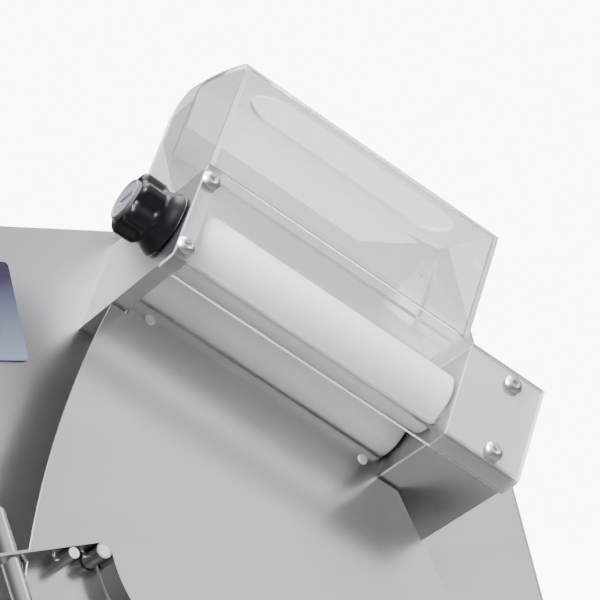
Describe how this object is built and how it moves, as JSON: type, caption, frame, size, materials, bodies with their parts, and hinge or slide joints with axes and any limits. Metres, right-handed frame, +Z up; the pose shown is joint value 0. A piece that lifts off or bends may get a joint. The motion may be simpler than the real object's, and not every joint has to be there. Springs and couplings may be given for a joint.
{
  "type": "dough sheeter",
  "caption": "Bench-top pizza dough sheeter: leaning steel cabinet, slanted upper roller head with clear hopper, level lower head, slide sheet and weighted balance tray.",
  "frame": {"origin": "centre of the footprint, on the ground under the feet", "axes": "+Z up, -Y towards the front, +X to the right seen from the front"},
  "size_m": [0.42, 0.4499, 0.6494],
  "materials": {
    "cabinet_steel": "brushed",
    "slide_steel": "fine brushed",
    "head_steel": "satin",
    "clear_sheet": "clear",
    "roller_white": "satin",
    "bright_steel": "turned",
    "gear_plastic": "matte",
    "black_plastic": "gloss",
    "cap_grey": "matte",
    "bearing_white": "matte",
    "bronze": "turned",
    "rubber_black": "matte",
    "belt_black": "matte",
    "belt_green": "matte",
    "pulley_aluminium": "turned",
    "gearbox_aluminium": "cast",
    "motor_paint": "satin",
    "label_blue": "satin",
    "start_green": "gloss",
    "stop_red": "gloss",
    "zinc": "bright zinc",
    "gland_grey": "matte"
  },
  "bodies": {
    "chassis": {"base_plate": "cabinet_steel", "button_rims": "black_plastic", "cable_gland": "gland_grey", "control_plate": "label_blue", "feet": "rubber_black", "front_panel": "cabinet_steel", "gearbox": "gearbox_aluminium", "hopper": "clear_sheet", "infeed_chute": "slide_steel", "left_side_panel": "cabinet_steel", "lower_gear_cover": "head_steel", "lower_guard": "clear_sheet", "lower_left_plate": "head_steel", "lower_right_plate": "head_steel", "motor": "motor_paint", "motor_bracket": "cabinet_steel", "rear_cover": "cabinet_steel", "right_side_panel": "cabinet_steel", "roller_bushes": "bronze", "round_belt": "belt_green", "slide_rivets": "zinc", "slide_sheet": "slide_steel", "slide_spacers": "pulley_aluminium", "socket_screws": "zinc", "toothed_belt": "belt_black", "top_cover": "cabinet_steel", "tray_pins": "bright_steel", "upper_gear_cover": "head_steel", "upper_guard": "clear_sheet", "upper_left_plate": "head_steel", "upper_right_plate": "head_steel"},
    "drive": {"drive_shaft": "bright_steel", "drive_belt_pulley": "pulley_aluminium", "drive_toothed_pulley": "pulley_aluminium"},
    "upper_rear": {"upper_rear_roller": "roller_white", "upper_rear_shaft": "bright_steel", "upper_rear_gear": "gear_plastic", "upper_belt_pulley": "pulley_aluminium"},
    "upper_carriage": {"upper_front_blocks": "bearing_white"},
    "upper_front": {"upper_front_roller": "roller_white", "upper_front_shaft": "bright_steel", "upper_front_gear": "gear_plastic"},
    "upper_knob": {"upper_gap_knob": "black_plastic", "upper_gap_knob_cap": "cap_grey", "upper_gap_spindle": "bright_steel"},
    "lower_rear": {"lower_rear_roller": "roller_white", "lower_rear_shaft": "bright_steel", "lower_rear_gear": "gear_plastic", "lower_belt_pulley": "pulley_aluminium"},
    "lower_carriage": {"lower_front_blocks": "bearing_white"},
    "lower_front": {"lower_front_roller": "roller_white", "lower_front_shaft": "bright_steel", "lower_front_gear": "gear_plastic"},
    "lower_knob": {"lower_gap_knob": "black_plastic", "lower_gap_knob_cap": "cap_grey", "lower_gap_spindle": "bright_steel"},
    "balance": {"balance_tray": "slide_steel", "balance_weight": "bright_steel"},
    "start": {"start_button": "start_green"},
    "stop": {"stop_button": "stop_red"}
  },
  "joints": [
    {"name": "drive_spin", "type": "hinge", "parent": "chassis", "child": "drive", "pos_m": [0.12, 0.04675, 0.38317], "axis": [1, 0, 0], "continuous": true},
    {"name": "upper_rear_spin", "type": "hinge", "parent": "chassis", "child": "upper_rear", "pos_m": [0.03021, -0.04536, 0.49393], "axis": [0.8303, -0.2118, -0.5155], "continuous": true},
    {"name": "upper_gap_slide", "type": "slide", "parent": "chassis", "child": "upper_carriage", "axis": [0, -0.9249, 0.3801], "range_m": [-0.002, 0]},
    {"name": "upper_front_spin", "type": "hinge", "parent": "upper_carriage", "child": "upper_front", "pos_m": [0.03021, -0.07996, 0.50815], "axis": [0.8303, -0.2118, -0.5155], "continuous": true},
    {"name": "upper_knob_turn", "type": "hinge", "parent": "chassis", "child": "upper_knob", "pos_m": [-0.06029, -0.05687, 0.56434], "axis": [0.8303, -0.2118, -0.5155], "range_deg": [0, 270]},
    {"name": "lower_rear_spin", "type": "hinge", "parent": "chassis", "child": "lower_rear", "pos_m": [-0.015, -0.14533, 0.23095], "axis": [1, 0, 0], "continuous": true},
    {"name": "lower_gap_slide", "type": "slide", "parent": "chassis", "child": "lower_carriage", "axis": [0, -0.9249, 0.3801], "range_m": [-0.002, 0]},
    {"name": "lower_front_spin", "type": "hinge", "parent": "lower_carriage", "child": "lower_front", "pos_m": [-0.015, -0.18454, 0.24706], "axis": [1, 0, 0], "continuous": true},
    {"name": "lower_knob_turn", "type": "hinge", "parent": "chassis", "child": "lower_knob", "pos_m": [-0.19, -0.18454, 0.24706], "axis": [1, 0, 0], "range_deg": [0, 270]},
    {"name": "balance_tilt", "type": "hinge", "parent": "chassis", "child": "balance", "pos_m": [-0.1155, -0.09581, 0.38618], "axis": [0, 0.9249, -0.3801], "range_deg": [0, 40]},
    {"name": "start_press", "type": "slide", "parent": "chassis", "child": "start", "axis": [0, 0.9249, -0.3801], "range_m": [0, 0.003], "stiffness_N_per_m": 400, "springref_m": -0.002},
    {"name": "stop_press", "type": "slide", "parent": "chassis", "child": "stop", "axis": [0, 0.9249, -0.3801], "range_m": [0, 0.003], "stiffness_N_per_m": 400, "springref_m": -0.002}
  ],
  "couplings": [
    {"joint": "upper_rear_spin", "follows": "drive_spin", "ratio": 1},
    {"joint": "upper_front_spin", "follows": "drive_spin", "ratio": -1},
    {"joint": "upper_knob_turn", "follows": "upper_gap_slide", "rad_per_m": -2356.2},
    {"joint": "lower_rear_spin", "follows": "drive_spin", "ratio": 1},
    {"joint": "lower_front_spin", "follows": "drive_spin", "ratio": -1},
    {"joint": "lower_knob_turn", "follows": "lower_gap_slide", "rad_per_m": -2356.2}
  ]
}
